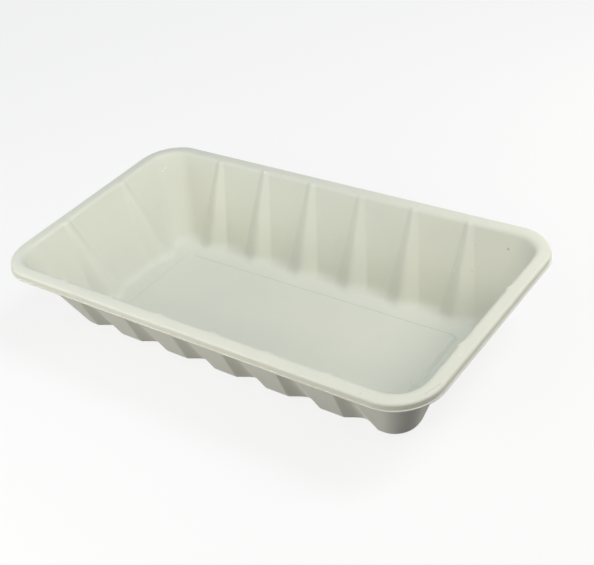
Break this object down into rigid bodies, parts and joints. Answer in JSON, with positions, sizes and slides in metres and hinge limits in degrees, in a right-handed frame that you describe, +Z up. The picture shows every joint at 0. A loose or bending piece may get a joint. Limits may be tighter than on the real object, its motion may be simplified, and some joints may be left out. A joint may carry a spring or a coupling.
{
  "type": "compostable serving tray",
  "caption": "Rectangular compostable food tray with a flat turned-down rim, sloping ribbed walls and a raised floor panel, open at the top.",
  "frame": {"origin": "on the table under the middle of the tray, level with the border of the floor that it stands on", "axes": "+X along the length, +Y across the width, +Z up out of the open top"},
  "size_m": [0.231, 0.126, 0.0425],
  "materials": {
    "bioplastic": "satin, pale green-ivory, starch based"
  },
  "bodies": {
    "root": {"tray": "bioplastic"}
  },
  "joints": []
}
